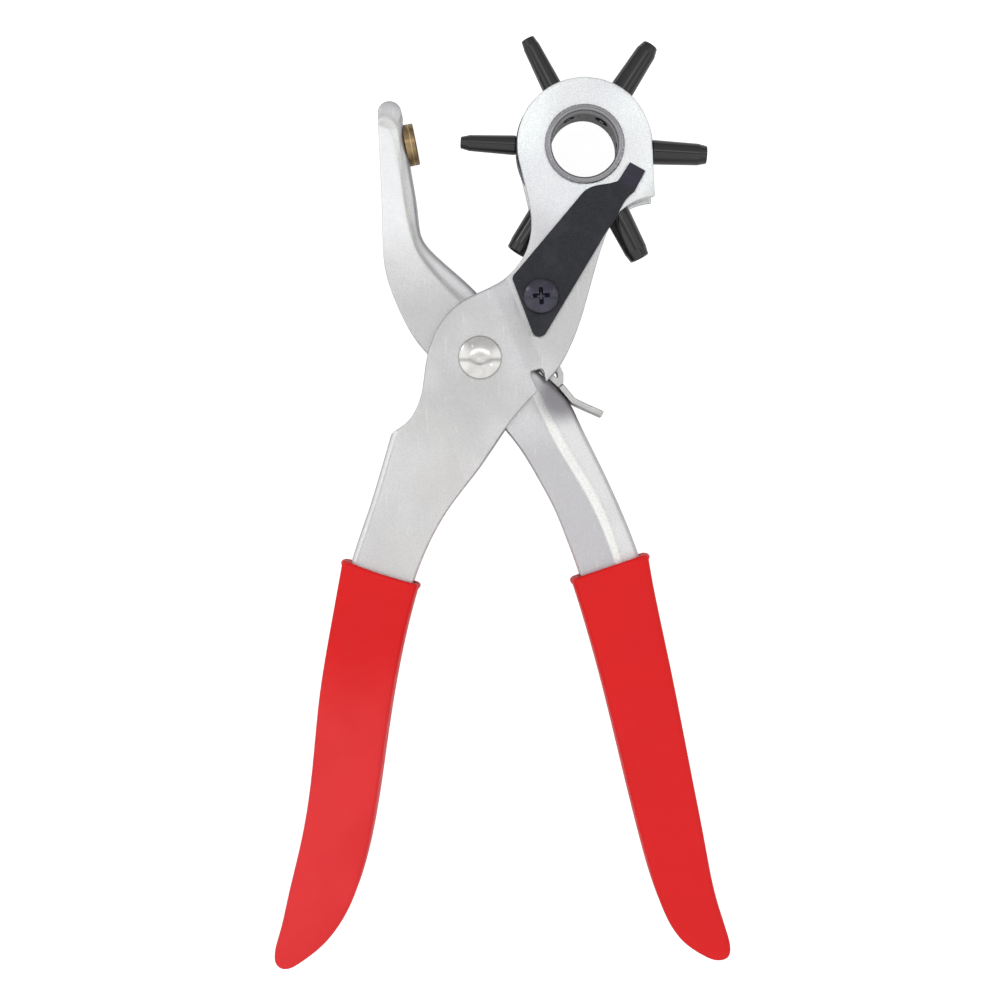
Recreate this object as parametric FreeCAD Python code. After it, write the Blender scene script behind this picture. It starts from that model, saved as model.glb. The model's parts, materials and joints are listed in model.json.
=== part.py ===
import FreeCAD, Part
import math
import os

# Rotary hole punch lying flat: +Z is the thickness, +Y runs toward the punch wheel.
# The origin is on the pivot axis, on the flat face of the rivet's back head.
# Everything is drawn about the middle plane of the tool, then lifted by MID_HEIGHT.

# --- overall layout, millimetres -------------------------------------------------
MID_HEIGHT = 9.5
SHEET = 1.5
WHEEL_X = 25.8
WHEEL_Y = 52.8

# --- punch lever: two pressed cheeks joined by a web along the handle -------------
LEVER_LOW = 6.2          # half width over the handle and the head
LEVER_HIGH = 7.75        # half width over the raised middle
HEAD_RADIUS = 16.7
NECK_ANGLE = 194.5       # where the neck leaves the round head
LEVER_FOLD = 2.5
RAISE_TURN = 23.0        # the raised band leans this far from the lever's length
RAISE_LEFT = -9.7
RAISE_RIGHT = 9.3
RAMP_LEFT = 5.6
RAMP_RIGHT = 4.4
CREST_ROUND = 4.0

CHEEK_NECK = [
    (-21.1, -17.8), (-16.6, -13.9), (-14.5, -8.5), (-13.3, -0.8), (-10.6, 7.0),
    (-4.7, 13.8), (2.5, 17.4), (7.6, 21.0), (11.4, 26.7), (12.6, 32.5), (11.8, 39.8),
]
CHEEK_HEEL = [(43.2, 39.9), (39.7, 39.3), (35.3, 36.9), (31.5, 31.5)]
CHEEK_BACK = [(31.5, 31.5), (28.2, 21.3), (25.2, 10.6), (22.8, 4.0), (16.2, -5.9)]
CHEEK_NOTCH = [(16.2, -5.9), (15.5, -2.5), (12.3, -3.4), (14.1, -7.6), (14.2, -8.3)]
PUNCH_INNER = [(14.2, -8.3), (7.3, -15.9), (0.3, -26.2), (-8.2, -37.5), (-14.1, -48.5)]
PUNCH_OUTER = [(-22.0, -18.3), (-24.3, -26.3), (-27.7, -37.5), (-31.5, -48.8)]
PUNCH_TANG_INNER = [
    (-17.4, -57.5), (-21.2, -74.0), (-24.3, -92.0), (-27.2, -112.0), (-30.2, -126.0), (-33.0, -134.0),
]
PUNCH_TANG_OUTER = [(-35.5, -66.0), (-38.4, -84.0), (-40.4, -104.0), (-43.0, -120.0), (-46.3, -134.0)]

# --- anvil lever: one channel, its web on the wheel side --------------------------
ANVIL_LOW = 4.8          # half width beside the web
ANVIL_HIGH = 6.0         # half width over the raised flange
ANVIL_FOLD = 1.7
JAW_OPEN = [
    (-25.4, 60.3), (-24.8, 48.0), (-24.2, 33.0), (-23.5, 21.9), (-20.7, 13.4), (-16.0, 4.8),
    (-10.0, -1.5), (-3.5, -7.6), (6.1, -17.2), (10.3, -22.6), (14.8, -30.1), (18.7, -37.5), (21.7, -44.9),
]
JAW_WEB = [
    (-19.6, 60.2), (-18.9, 56.5), (-17.5, 48.2), (-15.7, 37.0), (-14.2, 29.6), (-11.2, 25.9), (-2.8, 18.4),
    (4.0, 10.4), (12.4, -1.3), (18.5, -6.7), (22.5, -11.4), (24.3, -15.1), (28.0, -22.6), (35.0, -37.5),
    (38.9, -47.4),
]
JAW_NOSE = (-22.7, 63.9)
ANVIL_TANG_INNER = [
    (25.3, -55.0), (28.8, -70.0), (32.8, -85.0), (36.9, -102.0), (41.4, -120.0), (45.5, -133.5),
]
ANVIL_TANG_OUTER = [
    (41.2, -55.0), (44.3, -70.0), (47.4, -85.0), (50.7, -102.0), (54.2, -120.0), (57.0, -133.5),
]
RIDGE = [
    (-32.0, 57.2), (-25.0, 57.2), (-22.5, 56.3), (-21.5, 53.6), (-20.5, 48.4), (-17.6, 31.5), (-15.9, 26.6),
    (-12.5, 21.8), (-6.3, 15.2), (0.5, 9.5), (5.4, 4.2), (9.3, -3.0), (13.3, -11.1), (18.0, -20.9),
    (26.1, -34.5), (32.5, -49.3), (38.5, -70.0), (46.0, -100.0), (55.0, -140.0),
]
RIDGE_RAMP = [
    3.6, 3.6, 2.6, 1.8, 1.4, 1.2, 1.1, 1.1, 1.3, 1.8, 2.2, 2.6, 3.0, 3.3, 3.3, 2.6, 2.0, 2.0, 2.0,
]

# --- pivot, spring and the spacer that carries the latch screw ---------------------
RIVET_SHANK = 3.5
RIVET_HEAD = 5.4
RIVET_DOME = 2.0
RIVET_BACK = 1.75
RIVET_RIM = 0.4          # straight edge under the dome
RIVET_DIMPLE = (0.5, 0.35)
HEAD_GAP = 0.02          # the heads stand just clear of the sheet
RUNNING_FIT = 0.05
BUSH_RADIUS = 5.0
BUSH_HALF = 4.4
SPRING_COIL = 5.8
SPRING_WIRE = 0.55
SPRING_PITCH = 1.5
SPRING_LEG_PUNCH = (-20.2, -23.0)
SPRING_LEG_ANVIL = (23.4, -19.5)
SPRING_TURNS = 3

# --- punch wheel --------------------------------------------------------------------
WHEEL_RADIUS = 17.0
WHEEL_HALF = 4.5
HUB_OUTER = 9.2
HUB_INNER = 8.2
HUB_LIP = 9.85
HUB_LIP_START = 6.3
HUB_END = 7.1
HUB_CHAMFER = 0.3
HUB_FIT = 0.02           # clearance between the hub tube and the wheel
CHEEK_FIT = 0.1          # clearance between the hub tube and the cheeks
SLUG_CLEAR = 0.3         # the slug holes are this much wider than the tube bores, all round
SEAT_DEPTH = 6.0
SEAT_RADIUS = 2.6        # threaded seat for every punch tube
THREAD_RADIUS = 2.55
THREAD_END_GAP = 0.2
TUBE_BASE_GAP = 0.05
TRACK_INNER = 11.7
TRACK_DEPTH = 0.6
NOTCH_WIDTH = 1.6
NOTCH_DEPTH = 1.3
NOTCH_LENGTH = 6.0
TUBE_START = 177.1       # direction of the punch now facing the anvil
TUBE_TIP = 30.8
TUBE_TAPER_END = 28.8
# hole diameter: (base, shoulder and tip diameters)
TUBES = {
    2.0: (4.9, 4.0, 2.7),
    2.5: (5.1, 4.2, 3.2),
    3.0: (6.1, 5.2, 3.7),
    3.5: (6.1, 5.4, 4.2),
    4.0: (6.5, 5.8, 4.7),
    4.5: (6.6, 6.0, 5.2),
}

# --- anvil --------------------------------------------------------------------------
ANVIL_X = -16.0
ANVIL_Y = 54.0
ANVIL_TILT = 11.0
ANVIL_RADIUS = 5.2
ANVIL_THICK = 2.7
ANVIL_STEM = 2.0
ANVIL_TAIL = 3.2
ANVIL_TAIL_THICK = 0.9
ANVIL_STEM_GAP = 1.6     # stem length beyond the web's sheet
ANVIL_FIT = 0.05
ANVIL_ROUND = 0.3

# --- latch: a flat leaf with a bent tongue that drops into the wheel ---------------
LATCH_GAP = 0.15
LATCH_THICK = 1.0
LATCH_SCREW = (15.0, 15.1)
LATCH_SIDE = [(38.0, 40.9), (36.2, 39.3), (33.9, 35.3), (31.7, 32.0)]
LATCH_FOOT = [(16.3, 6.2), (14.6, 5.2), (13.0, 6.0)]
LATCH_CORNER = [(8.2, 18.8), (8.0, 19.8), (8.6, 20.8)]
LATCH_THROAT = [(25.2, 40.6), (27.4, 42.1), (30.6, 42.8), (34.0, 43.6)]
LATCH_TIP = [(36.9, 48.2), (40.7, 46.1)]
TONGUE_TIP = 4.0         # how close the bent tongue reaches to the middle plane
TONGUE_WIDTH = 3.0
TONGUE_RADIUS = 14.2     # distance of the tongue from the wheel axis
TONGUE_ANGLE = -29.0
WINDOW_MARGIN = 0.3
SCREW_HEAD = 4.3
SCREW_HEAD_GAP = 0.25
SCREW_HEAD_HEIGHT = 2.4
SCREW_SHANK = 2.0
SCREW_RIM = 0.9          # straight edge under the screw's dome
SCREW_HOLE_CLEAR = 0.3
SCREW_END = -2.5
SCREW_CROSS = 4.8
SCREW_CROSS_WIDTH = 0.9
SCREW_CROSS_DEPTH = 1.5
SCREW_CROSS_TURN = 3
SPACER_RADIUS = 3.6

# --- lock lever ----------------------------------------------------------------------
LOCK_X = 16.9
LOCK_Y = -1.4
LOCK_PIN = 1.0
LOCK_STRIP = 1.5
LOCK_EYE = 2.45
LOCK_EYE_HALF = 3.5
LOCK_TAB_HALF = 4.4
LOCK_INNER_LEG = [(15.7, -2.65), (20.2, -6.9)]
LOCK_OUTER_LEG = [(18.4, -0.6), (19.9, -3.6), (19.9, -5.9)]
LOCK_TAB = [(20.0, -6.7), (23.1, -10.4), (25.9, -11.7), (30.4, -13.7)]

# --- grips ---------------------------------------------------------------------------
GRIP_WALL = 1.3
GRIP_CLEAR = 0.15
GRIP_END_GAP = 0.5
GRIP_HALF = 8.0
GRIP_BORE_HALF = 6.35
GRIP_ROUND = 1.4
GRIP_FIRST_SPAN = 5.0    # the sleeve's edge runs straight this far below its mouth
PUNCH_GRIP_TOP = [(-33.9, -49.8), (-15.3, -55.9)]
PUNCH_GRIP_TIP = [
    (-49.4, -141.6), (-50.7, -147.1), (-50.2, -149.6), (-48.8, -150.6), (-44.3, -149.1), (-38.6, -144.6),
]
ANVIL_GRIP_TOP = [(41.4, -48.3), (22.7, -54.6)]
ANVIL_GRIP_TIP = [
    (60.9, -141.6), (61.7, -145.0), (61.3, -147.5), (59.2, -148.5), (55.0, -147.3), (50.0, -143.8),
]

UP = FreeCAD.Vector(0, 0, 1)


def spot(point, height=0.0):
    """A plan point at a height above the middle plane."""
    return FreeCAD.Vector(point[0], point[1], height)


def polar(centre, radius, angle):
    """The plan point at a distance and direction (degrees) from a centre."""
    turn = math.radians(angle)
    return (centre[0] + radius * math.cos(turn), centre[1] + radius * math.sin(turn))


def curve(points, height=0.0):
    """A smooth edge through the points."""
    line = Part.BSplineCurve()
    line.interpolate([spot(point, height) for point in points])
    return line.toShape()


def lines(points, height=0.0):
    """Straight edges from point to point."""
    pairs = zip(points[:-1], points[1:])
    return [Part.makeLine(spot(a, height), spot(b, height)) for a, b in pairs]


def arc(start, middle, end):
    """A circular edge through three points."""
    return Part.Arc(spot(start), spot(middle), spot(end)).toShape()


def region(edges):
    """The flat face inside a closed loop of edges."""
    return Part.Face(Part.Wire(Part.__sortEdges__(edges)))


def slab(face, low, high):
    """A flat face thickened from one height to another."""
    lifted = face.copy()
    lifted.translate(FreeCAD.Vector(0, 0, low))
    return lifted.extrude(FreeCAD.Vector(0, 0, high - low))


def wide_slab(half):
    """A slab about the middle plane, wider than the whole tool."""
    return Part.makeBox(200, 300, 2 * half, FreeCAD.Vector(-100, -200, -half))


def beside(points, distance):
    """The same run of points moved sideways, to the left of its direction."""
    line = Part.BSplineCurve()
    line.interpolate([spot(point) for point in points])
    moved = []
    for point in points:
        direction = line.tangent(line.parameter(spot(point)))[0]
        moved.append((point[0] - direction.y * distance, point[1] + direction.x * distance))
    return moved


def cylinder(centre, radius, low, high):
    """An upright cylinder between two heights."""
    return Part.makeCylinder(radius, high - low, spot(centre, low))


def mirrored(shape):
    """The same shape on the other side of the middle plane."""
    return shape.mirror(FreeCAD.Vector(0, 0, 0), UP)


def both_sides(shape):
    """A shape and its mirror image across the middle plane."""
    return shape.fuse(mirrored(shape))


def round_along(solid, run, height, radius):
    """Round the solid's edges that follow a plan run at plus and minus a height."""
    chosen = []
    for edge in solid.Edges:
        middle = edge.valueAt((edge.FirstParameter + edge.LastParameter) / 2)
        if abs(abs(middle.z) - height) > 0.01:
            continue
        shadow = Part.Vertex(FreeCAD.Vector(middle.x, middle.y, 0))
        if shadow.distToShape(run)[0] < 0.05:
            chosen.append(edge)
    return solid.makeFillet(radius, chosen)


def stepped(foot_edges, crest_edges, low, high):
    """A raised panel with sloping sides between a foot loop and a crest loop."""
    foot = Part.Wire(foot_edges)
    crest = Part.Wire(crest_edges)
    foot.translate(FreeCAD.Vector(0, 0, low))
    crest.translate(FreeCAD.Vector(0, 0, high))
    return Part.makeLoft([foot, crest], True, True)


# --- punch lever ---------------------------------------------------------------------
def across(shift, reach):
    """A plan point from its distance across and along the leaning raised band."""
    turn = math.radians(RAISE_TURN)
    x = shift * math.cos(turn) - reach * math.sin(turn)
    y = shift * math.sin(turn) + reach * math.cos(turn)
    return (x, y)


def raised_loop(left, right):
    """Loop round the raised middle; its left side swings out beside the jaw."""
    side = [
        across(left, -42.0), across(left, -22.0), across(left, -2.5), across(left - 1.6, 5.0),
        across(left - 4.1, 13.0), across(left - 10.5, 30.0),
    ]
    top = across(right, 30.0)
    bottom = across(right, -42.0)
    return [curve(side)] + lines([side[-1], top, bottom, side[0]])


def raised_middle(low, high):
    """The raised panel of one cheek, its crest softened."""
    foot = raised_loop(RAISE_LEFT - RAMP_LEFT, RAISE_RIGHT + RAMP_RIGHT)
    crest = raised_loop(RAISE_LEFT, RAISE_RIGHT)
    panel = stepped(foot, crest, low, high)
    return round_along(panel, Part.Compound([crest[0], crest[2]]), high, CREST_ROUND)


def punch_lever_outline():
    """Plan outline of the punch lever, head to tang."""
    wheel = (WHEEL_X, WHEEL_Y)
    neck_top = polar(wheel, HEAD_RADIUS, NECK_ANGLE)
    head_top = polar(wheel, HEAD_RADIUS, 90)
    head_right = polar(wheel, HEAD_RADIUS, 0)
    inner = PUNCH_INNER + PUNCH_TANG_INNER
    outer = PUNCH_OUTER + PUNCH_TANG_OUTER
    edges = [arc(neck_top, head_top, head_right)]
    edges += lines([head_right, CHEEK_HEEL[0]])
    edges += [curve(CHEEK_HEEL), curve(CHEEK_BACK)]
    edges += lines(CHEEK_NOTCH)
    edges += [curve(inner)]
    edges += lines([inner[-1], outer[-1]])
    edges += [curve(outer)]
    edges += lines([outer[0], CHEEK_NECK[0]])
    edges += [curve(CHEEK_NECK + [neck_top])]
    return region(edges)


def tongue_box(margin, low, high):
    """The upright box of the bent tongue, grown by a margin."""
    width = TONGUE_WIDTH + 2 * margin
    thick = LATCH_THICK + 2 * margin
    box = Part.makeBox(width, thick, high - low, FreeCAD.Vector(-width / 2, -thick / 2, low))
    box.rotate(FreeCAD.Vector(0, 0, 0), UP, TONGUE_ANGLE)
    centre = polar((WHEEL_X, WHEEL_Y), TONGUE_RADIUS, TONGUE_ANGLE)
    box.translate(spot(centre))
    return box


def punch_lever():
    """Folded sheet lever: two cheeks carrying the wheel, one web down the handle."""
    outline = punch_lever_outline()
    fold = PUNCH_OUTER + PUNCH_TANG_OUTER
    body = round_along(slab(outline, -LEVER_LOW, LEVER_LOW), curve(fold), LEVER_LOW, LEVER_FOLD)
    panel = raised_middle(LEVER_LOW, LEVER_HIGH).common(slab(outline, 0, LEVER_HIGH + 1))
    body = body.fuse(both_sides(panel)).removeSplitter()

    inside_of_web = beside(fold, SHEET)
    outside_of_web = beside(fold, -SHEET)
    web_edges = [curve(inside_of_web), curve(outside_of_web)]
    web_edges += lines([inside_of_web[0], outside_of_web[0]])
    web_edges += lines([inside_of_web[-1], outside_of_web[-1]])
    web = slab(region(web_edges), -LEVER_HIGH, LEVER_HIGH)
    hollow = wide_slab(LEVER_LOW - SHEET)
    hollow = hollow.fuse(both_sides(raised_middle(LEVER_LOW - SHEET, LEVER_HIGH - SHEET)))
    body = body.cut(hollow.cut(web))

    body = body.cut(cylinder((0, 0), RIVET_SHANK + RUNNING_FIT, -LEVER_HIGH - 1, LEVER_HIGH + 1))
    body = body.cut(cylinder((WHEEL_X, WHEEL_Y), HUB_OUTER + CHEEK_FIT, -LEVER_HIGH, LEVER_HIGH))
    body = body.cut(cylinder(LATCH_SCREW, SCREW_SHANK + RUNNING_FIT, 0, LEVER_HIGH))
    body = body.cut(cylinder((LOCK_X, LOCK_Y), LOCK_PIN + RUNNING_FIT, -LEVER_HIGH, LEVER_HIGH))
    return body.cut(tongue_box(WINDOW_MARGIN, 0, LEVER_HIGH))


# --- anvil lever ---------------------------------------------------------------------
def anvil_lever_outline():
    """Plan outline of the anvil lever, nose to tang."""
    open_side = JAW_OPEN + ANVIL_TANG_INNER
    web_side = JAW_WEB + ANVIL_TANG_OUTER
    edges = [curve(open_side), curve(web_side)]
    edges += lines([open_side[-1], web_side[-1]])
    edges += [arc(open_side[0], JAW_NOSE, web_side[0])]
    return region(edges)


def ridge_loop(points):
    """Loop round the raised flange, closed far out on the open side."""
    far = [points[-1], (-60.0, -140.0), (-60.0, points[0][1]), points[0]]
    return [curve(points)] + lines(far)


def raised_flange(low, high):
    """The raised panel along the open side of one flange."""
    foot = []
    for point, ramp, moved in zip(RIDGE, RIDGE_RAMP, beside(RIDGE, 1.0)):
        foot.append((point[0] + (moved[0] - point[0]) * ramp, point[1] + (moved[1] - point[1]) * ramp))
    return stepped(ridge_loop(foot), ridge_loop(RIDGE), low, high)


def anvil_lever():
    """Folded sheet channel that swings on the rivet and carries the anvil."""
    outline = anvil_lever_outline()
    fold = JAW_WEB + ANVIL_TANG_OUTER
    body = round_along(slab(outline, -ANVIL_LOW, ANVIL_LOW), curve(fold), ANVIL_LOW, ANVIL_FOLD)
    panel = raised_flange(ANVIL_LOW, ANVIL_HIGH).common(slab(outline, 0, ANVIL_HIGH + 1))
    body = body.fuse(both_sides(panel)).removeSplitter()

    inside_of_web = beside(fold, -SHEET)
    outside_of_web = beside(fold, SHEET)
    nose = (JAW_NOSE[0], JAW_NOSE[1] + SHEET)
    web_edges = [curve(inside_of_web), curve(outside_of_web)]
    web_edges += lines([inside_of_web[0], nose, outside_of_web[0]])
    web_edges += lines([inside_of_web[-1], outside_of_web[-1]])
    web = slab(region(web_edges), -ANVIL_HIGH, ANVIL_HIGH)
    hollow = wide_slab(ANVIL_LOW - SHEET)
    hollow = hollow.fuse(both_sides(raised_flange(ANVIL_LOW - SHEET, ANVIL_HIGH - SHEET)))
    body = body.cut(hollow.cut(web))

    body = body.cut(cylinder((0, 0), RIVET_SHANK + RUNNING_FIT, -ANVIL_HIGH - 1, ANVIL_HIGH + 1))
    return body.cut(anvil_solid(ANVIL_FIT))


def anvil_solid(grow):
    """Brass disc, the stem through the web and its riveted tail."""
    axis = FreeCAD.Vector(*polar((0, 0), 1, ANVIL_TILT), 0)
    face = FreeCAD.Vector(ANVIL_X, ANVIL_Y, 0)
    seat = face - axis * (ANVIL_THICK + grow)
    disc = Part.makeCylinder(ANVIL_RADIUS + grow, ANVIL_THICK + grow, seat, axis)
    stem_length = SHEET + ANVIL_STEM_GAP
    stem_start = seat - axis * stem_length
    stem = Part.makeCylinder(ANVIL_STEM + grow, stem_length, stem_start, axis)
    tail = Part.makeCylinder(ANVIL_TAIL + grow, ANVIL_TAIL_THICK, stem_start, axis)
    return disc.fuse([stem, tail])


def anvil():
    """The brass anvil with a softened rim."""
    solid = anvil_solid(0.0)
    rim = []
    for edge in solid.Edges:
        if not isinstance(edge.Curve, Part.Circle):
            continue
        if abs(edge.Curve.Radius - ANVIL_RADIUS) < 0.01:
            rim.append(edge)
    return solid.makeFillet(ANVIL_ROUND, rim)


# --- pivot ---------------------------------------------------------------------------
def dome(centre, radius, base, height):
    """A low domed head standing on a flat base."""
    sphere_radius = (radius * radius + height * height) / (2 * height)
    ball = Part.makeSphere(sphere_radius, spot(centre, base + height - sphere_radius))
    return ball.common(cylinder(centre, radius + 1, base, base + height + 1))


def pivot_rivet():
    """Rivet with a low dome in front and a flat head behind."""
    shank = cylinder((0, 0), RIVET_SHANK, -LEVER_HIGH - 0.5, LEVER_HIGH + 0.5)
    rim_top = LEVER_HIGH + RIVET_RIM
    front_rim = cylinder((0, 0), RIVET_HEAD, LEVER_HIGH + HEAD_GAP, rim_top)
    front = dome((0, 0), RIVET_HEAD, rim_top, RIVET_DOME - RIVET_RIM)
    wide, deep = RIVET_DIMPLE
    dimple = Part.makeCone(0, wide, deep, spot((0, 0), LEVER_HIGH + RIVET_DOME - deep))
    back = cylinder((0, 0), RIVET_HEAD, -LEVER_HIGH - RIVET_BACK, -LEVER_HIGH - HEAD_GAP)
    return shank.fuse([front_rim, front.cut(dimple), back])


def pivot_bush():
    """Sleeve between the anvil lever's flanges, turning on the rivet."""
    sleeve = cylinder((0, 0), BUSH_RADIUS, -BUSH_HALF, BUSH_HALF)
    return sleeve.cut(cylinder((0, 0), RIVET_SHANK + RUNNING_FIT, -BUSH_HALF, BUSH_HALF))


def rod(start, end, radius):
    """A round wire between two points in space."""
    reach = end - start
    return Part.makeCylinder(radius, reach.Length, start, reach)


def leg_angle(target, side):
    """Direction on the coil where a tangent leg to the target leaves it."""
    distance = math.hypot(target[0], target[1])
    bearing = math.degrees(math.atan2(target[1], target[0]))
    return bearing + side * math.degrees(math.acos(SPRING_COIL / distance))


def opening_spring():
    """Torsion spring round the bush, one leg against the web of each lever."""
    start = leg_angle(SPRING_LEG_PUNCH, 1)
    end = leg_angle(SPRING_LEG_ANVIL, -1)
    turns = SPRING_TURNS + (end - start - 360 * round((end - start) / 360)) / 360
    height = turns * SPRING_PITCH
    helix = Part.makeHelix(SPRING_PITCH, height, SPRING_COIL)
    ring = Part.Circle(FreeCAD.Vector(SPRING_COIL, 0, 0), FreeCAD.Vector(0, 1, 0), SPRING_WIRE)
    coil = Part.Wire(helix.Edges).makePipeShell([Part.Wire(ring.toShape())], True, True)
    coil.rotate(FreeCAD.Vector(0, 0, 0), UP, start)
    coil.translate(FreeCAD.Vector(0, 0, -height / 2))
    low = spot(polar((0, 0), SPRING_COIL, start), -height / 2)
    high = spot(polar((0, 0), SPRING_COIL, end), height / 2)
    lower_leg = rod(low, spot(SPRING_LEG_PUNCH, -height / 2), SPRING_WIRE)
    upper_leg = rod(high, spot(SPRING_LEG_ANVIL, height / 2), SPRING_WIRE)
    corners = [Part.makeSphere(SPRING_WIRE, low), Part.makeSphere(SPRING_WIRE, high)]
    return coil.fuse([lower_leg, upper_leg] + corners)


# --- punch wheel ----------------------------------------------------------------------
def radial_rod(radius, start, end, angle):
    """A cylinder pointing outward from the wheel axis."""
    wheel = (WHEEL_X, WHEEL_Y)
    inner = spot(polar(wheel, start, angle))
    outer = spot(polar(wheel, end, angle))
    return rod(inner, outer, radius)


def tube_angles():
    """Direction of each punch, clockwise from the one facing the anvil."""
    return [TUBE_START - 60 * place for place in range(len(TUBES))]


def punch_wheel():
    """Turret with six threaded seats, a tongue track and six index notches."""
    wheel = (WHEEL_X, WHEEL_Y)
    body = cylinder(wheel, WHEEL_RADIUS, -WHEEL_HALF, WHEEL_HALF)
    body = body.cut(cylinder(wheel, HUB_OUTER + HUB_FIT, -WHEEL_HALF, WHEEL_HALF))
    track = cylinder(wheel, WHEEL_RADIUS + 1, WHEEL_HALF - TRACK_DEPTH, WHEEL_HALF)
    body = body.cut(track.cut(cylinder(wheel, TRACK_INNER, 0, WHEEL_HALF)))
    for angle, hole in zip(tube_angles(), TUBES):
        body = body.cut(radial_rod(SEAT_RADIUS, WHEEL_RADIUS - SEAT_DEPTH, WHEEL_RADIUS + 1, angle))
        body = body.cut(radial_rod(hole / 2 + SLUG_CLEAR, 0, WHEEL_RADIUS, angle))
        notch = Part.makeBox(NOTCH_LENGTH, NOTCH_WIDTH, 2, FreeCAD.Vector(TRACK_INNER, -NOTCH_WIDTH / 2, 0))
        notch.rotate(FreeCAD.Vector(0, 0, 0), UP, angle - TUBE_START + TONGUE_ANGLE)
        notch.translate(spot(wheel, WHEEL_HALF - NOTCH_DEPTH))
        body = body.cut(notch)
    return body


def wheel_hub_tube():
    """Short tube the wheel turns on, lipped outside both cheeks, open for slugs."""
    upper = [
        (HUB_OUTER, HUB_LIP_START), (HUB_LIP, HUB_LIP_START), (HUB_LIP, HUB_END - HUB_CHAMFER),
        (HUB_LIP - HUB_CHAMFER, HUB_END), (HUB_INNER + HUB_CHAMFER, HUB_END),
        (HUB_INNER, HUB_END - HUB_CHAMFER),
    ]
    profile = [(radius, -height) for radius, height in upper[::-1]] + upper
    corners = [FreeCAD.Vector(radius, 0, height) for radius, height in profile]
    section = Part.Face(Part.makePolygon(corners + corners[:1]))
    tube = section.revolve(FreeCAD.Vector(0, 0, 0), UP, 360)
    tube.translate(spot((WHEEL_X, WHEEL_Y)))
    for angle, hole in zip(tube_angles(), TUBES):
        tube = tube.cut(radial_rod(hole / 2 + SLUG_CLEAR, 1, HUB_LIP + 1, angle))
    return tube


def punch_tube(hole, angle):
    """One screw-in cutting tube, bored right through."""
    base, shoulder, tip = TUBES[hole]
    wheel = (WHEEL_X, WHEEL_Y)
    outward = FreeCAD.Vector(*polar((0, 0), 1, angle), 0)
    base_radius = WHEEL_RADIUS + TUBE_BASE_GAP
    seat = spot(polar(wheel, base_radius, angle))
    taper = spot(polar(wheel, TUBE_TAPER_END, angle))
    body = Part.makeCone(base / 2, shoulder / 2, TUBE_TAPER_END - base_radius, seat, outward)
    nose = Part.makeCone(shoulder / 2, tip / 2, TUBE_TIP - TUBE_TAPER_END, taper, outward)
    thread_start = WHEEL_RADIUS - SEAT_DEPTH + THREAD_END_GAP
    thread = radial_rod(THREAD_RADIUS, thread_start, base_radius + TUBE_BASE_GAP, angle)
    bore = radial_rod(hole / 2, 0, TUBE_TIP + 1, angle)
    return body.fuse([nose, thread]).cut(bore)


# --- latch ------------------------------------------------------------------------------
def index_latch():
    """Leaf on the front cheek; its bent tongue reaches through to the wheel."""
    edges = lines([LATCH_THROAT[-1]] + LATCH_TIP + [LATCH_SIDE[0]])
    edges += [curve(LATCH_SIDE)]
    edges += lines([LATCH_SIDE[-1], LATCH_FOOT[0]])
    edges += [arc(*LATCH_FOOT)]
    edges += lines([LATCH_FOOT[-1], LATCH_CORNER[0]])
    edges += [arc(*LATCH_CORNER)]
    edges += lines([LATCH_CORNER[-1], LATCH_THROAT[0]])
    edges += [curve(LATCH_THROAT)]
    low = LEVER_LOW + LATCH_GAP
    leaf = slab(region(edges), low, low + LATCH_THICK)
    leaf = leaf.fuse(tongue_box(0, TONGUE_TIP, low + LATCH_THICK))
    hole = cylinder(LATCH_SCREW, SCREW_SHANK + SCREW_HOLE_CLEAR, low - 1, low + LATCH_THICK + 1)
    return leaf.cut(hole)


def latch_screw():
    """Pan-head screw with a cross recess, driven into the spacer."""
    base = LEVER_LOW + LATCH_GAP + LATCH_THICK + SCREW_HEAD_GAP
    rim = cylinder(LATCH_SCREW, SCREW_HEAD, base, base + SCREW_RIM)
    head = rim.fuse(dome(LATCH_SCREW, SCREW_HEAD, base + SCREW_RIM, SCREW_HEAD_HEIGHT - SCREW_RIM))
    top = base + SCREW_HEAD_HEIGHT
    for turn in (SCREW_CROSS_TURN, SCREW_CROSS_TURN + 90):
        corner = FreeCAD.Vector(-SCREW_CROSS / 2, -SCREW_CROSS_WIDTH / 2, 0)
        bar = Part.makeBox(SCREW_CROSS, SCREW_CROSS_WIDTH, 2, corner)
        bar.rotate(FreeCAD.Vector(0, 0, 0), UP, turn)
        bar.translate(spot(LATCH_SCREW, top - SCREW_CROSS_DEPTH))
        head = head.cut(bar)
    return head.fuse(cylinder(LATCH_SCREW, SCREW_SHANK, SCREW_END, base))


def neck_spacer():
    """Tapped pillar that keeps the cheeks apart behind the latch screw."""
    half = LEVER_LOW - SHEET - HEAD_GAP
    pillar = cylinder(LATCH_SCREW, SPACER_RADIUS, -half, half)
    return pillar.cut(cylinder(LATCH_SCREW, SCREW_SHANK + RUNNING_FIT, -half, half))


# --- lock lever ---------------------------------------------------------------------------
def strip(points, half_height):
    """A flat strip standing on edge along a run of points."""
    one_side = beside_lines(points, LOCK_STRIP / 2)
    other_side = beside_lines(points, -LOCK_STRIP / 2)
    loop = one_side + other_side[::-1] + one_side[:1]
    return slab(region(lines(loop)), -half_height, half_height)


def beside_lines(points, distance):
    """A run of straight lines moved sideways, mitred at its corners."""
    moved = []
    for place, point in enumerate(points):
        before = points[max(place - 1, 0)]
        after = points[min(place + 1, len(points) - 1)]
        into = unit(before, point) or unit(point, after)
        out = unit(point, after) or into
        bisector = (into[0] + out[0], into[1] + out[1])
        length = math.hypot(*bisector)
        spread = 2 * distance / (length * length)
        moved.append((point[0] - bisector[1] * spread, point[1] + bisector[0] * spread))
    return moved


def unit(start, end):
    """Direction from one plan point to another, or None when they coincide."""
    reach = math.hypot(end[0] - start[0], end[1] - start[1])
    if reach == 0:
        return None
    return ((end[0] - start[0]) / reach, (end[1] - start[1]) / reach)


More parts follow.
